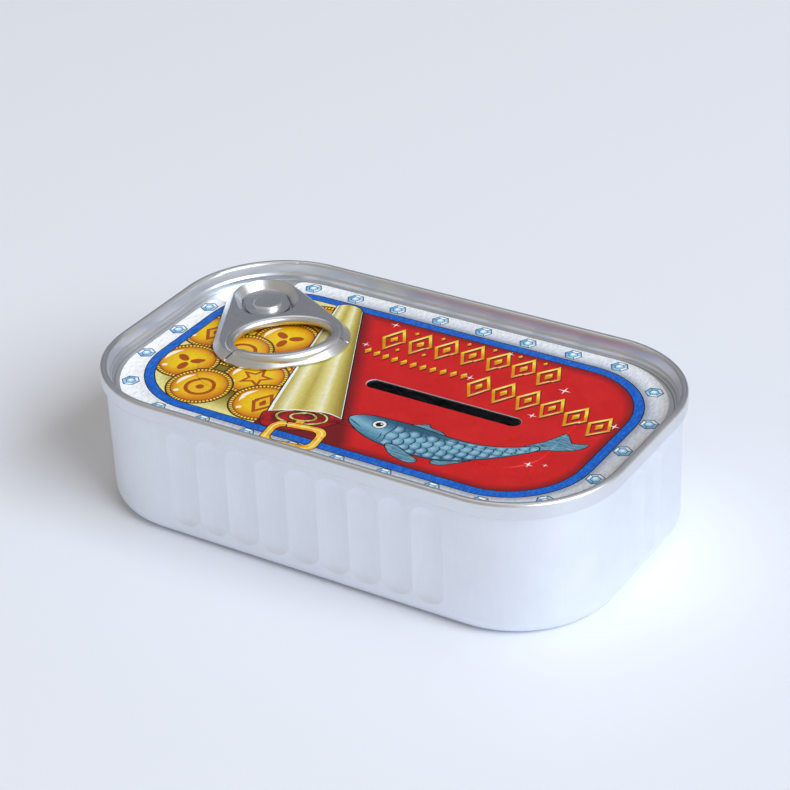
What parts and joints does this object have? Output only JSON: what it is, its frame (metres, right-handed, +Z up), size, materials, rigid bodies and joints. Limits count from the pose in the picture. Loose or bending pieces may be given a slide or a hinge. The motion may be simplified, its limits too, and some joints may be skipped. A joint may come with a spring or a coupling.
{
  "type": "sardine tin money box",
  "caption": "Flat rounded rectangular tin used as a money box, with a ring-pull lid, a coin slot and a printed lid label.",
  "frame": {"origin": "centre of the base, on the plane it stands on", "axes": "+Z up, +X along the length, the pull tab lies over the corner at low X and high Y"},
  "size_m": [0.1046, 0.062, 0.0273],
  "materials": {
    "body_aluminium": "satin, drawn",
    "lid_aluminium": "satin",
    "tab_aluminium": "satin, stamped",
    "label_print": "printed film, satin varnish",
    "sealing_compound": "matte"
  },
  "bodies": {
    "can": {"can_body": "body_aluminium", "lid_rim": "lid_aluminium", "seam_compound": "sealing_compound"},
    "panel": {"tear_panel": "lid_aluminium", "label": "label_print", "rivet": "lid_aluminium", "tab_tongue": "tab_aluminium"},
    "tab": {"pull_ring": "tab_aluminium"}
  },
  "joints": [
    {"name": "panel_open", "type": "hinge", "parent": "can", "child": "panel", "pos_m": [0.05088, 0, 0.0273], "axis": [0, 1, 0], "range_deg": [0, 110]},
    {"name": "tab_lift", "type": "hinge", "parent": "panel", "child": "tab", "pos_m": [-0.04311, 0.02152, 0.02485], "axis": [-0.7133, -0.7009, 0], "range_deg": [0, 75]}
  ]
}
